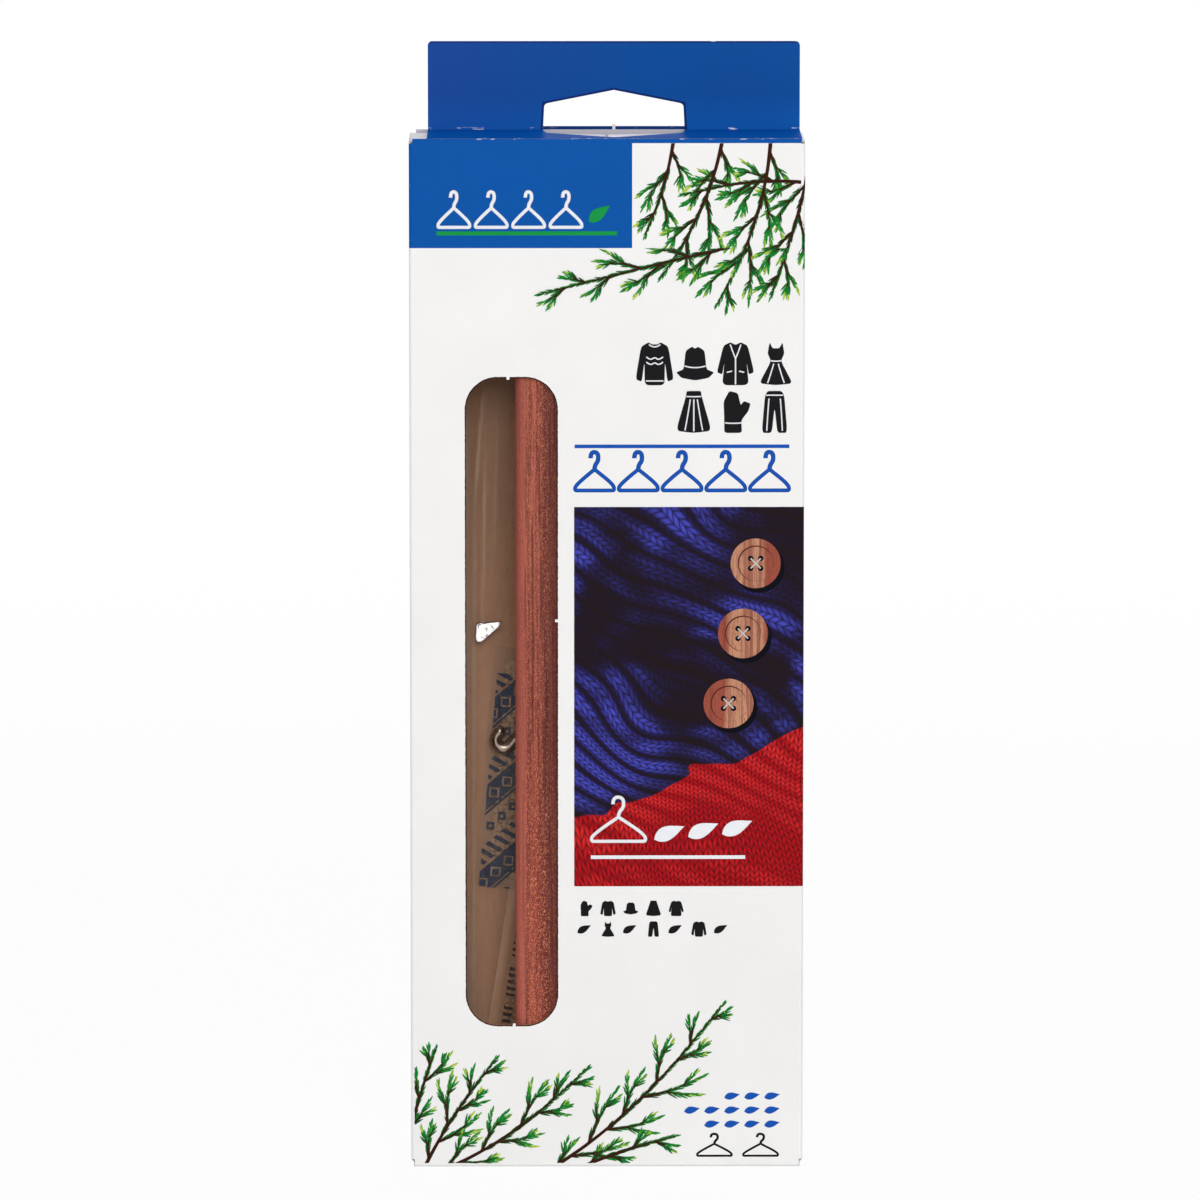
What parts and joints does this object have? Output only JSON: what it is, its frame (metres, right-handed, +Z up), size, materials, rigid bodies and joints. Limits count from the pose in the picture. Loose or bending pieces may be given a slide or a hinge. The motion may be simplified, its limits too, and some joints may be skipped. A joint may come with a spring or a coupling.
{
  "type": "cedar hanger block in carton",
  "caption": "Flat cedar block in a windowed hang-up carton, with a wire hook and drying packets bagged behind it; the tuck-in lid folds open.",
  "frame": {"origin": "middle of the carton's foot, on the surface that the carton stands on", "axes": "+X to the right seen from the front, +Y from the front panel to the back, +Z up"},
  "size_m": [0.088, 0.025, 0.2519],
  "materials": {
    "white_board": "satin",
    "blue_board": "satin",
    "kraft_board": "matte",
    "cedar": "satin",
    "clear_film": "gloss",
    "plated_steel": "polished",
    "packet_film": "gloss",
    "packet_filling": "matte"
  },
  "bodies": {
    "carton": {"front_panel": "white_board", "back_panel": "blue_board", "left_side_panel": "white_board", "right_side_panel": "white_board", "glue_flap": "kraft_board", "header_front_ply": "blue_board", "header_back_ply": "blue_board", "bottom_outer_flap": "white_board", "bottom_inner_flap": "kraft_board", "bottom_dust_flap_left": "kraft_board", "bottom_dust_flap_right": "kraft_board"},
    "lid": {"lid_panel": "blue_board"},
    "tuck": {"tuck_flap": "blue_board"},
    "left_dust_flap": {"dust_flap_left": "white_board"},
    "right_dust_flap": {"dust_flap_right": "white_board"},
    "block": {"cedar_block": "cedar"},
    "hook_bag": {"clear_bag": "clear_film", "wire_hook": "plated_steel", "absorber_envelope": "packet_film", "absorber_filling": "packet_filling", "sachet_envelope": "packet_film", "sachet_granules": "packet_filling"}
  },
  "joints": [
    {"name": "lid_fold", "type": "hinge", "parent": "carton", "child": "lid", "pos_m": [0, 0.0112, 0.23175], "axis": [-1, 0, 0], "range_deg": [0, 88]},
    {"name": "tuck_fold", "type": "hinge", "parent": "lid", "child": "tuck", "pos_m": [0, -0.01165, 0.23175], "axis": [-1, 0, 0], "range_deg": [0, 18]},
    {"name": "dust_flap_left_fold", "type": "hinge", "parent": "carton", "child": "left_dust_flap", "pos_m": [-0.04375, 0, 0.23115], "axis": [0, -1, 0], "range_deg": [0, 10]},
    {"name": "dust_flap_right_fold", "type": "hinge", "parent": "carton", "child": "right_dust_flap", "pos_m": [0.04375, 0, 0.23115], "axis": [0, 1, 0], "range_deg": [0, 10]},
    {"name": "block_slide", "type": "slide", "parent": "carton", "child": "block", "axis": [0, 0, 1], "range_m": [0, 0.015]},
    {"name": "bag_slide", "type": "slide", "parent": "carton", "child": "hook_bag", "axis": [0, 0, 1], "range_m": [0, 0.016]}
  ],
  "couplings": [
    {"joint": "dust_flap_left_fold", "follows": "lid_fold", "ratio": 0.11},
    {"joint": "dust_flap_right_fold", "follows": "lid_fold", "ratio": 0.11}
  ]
}
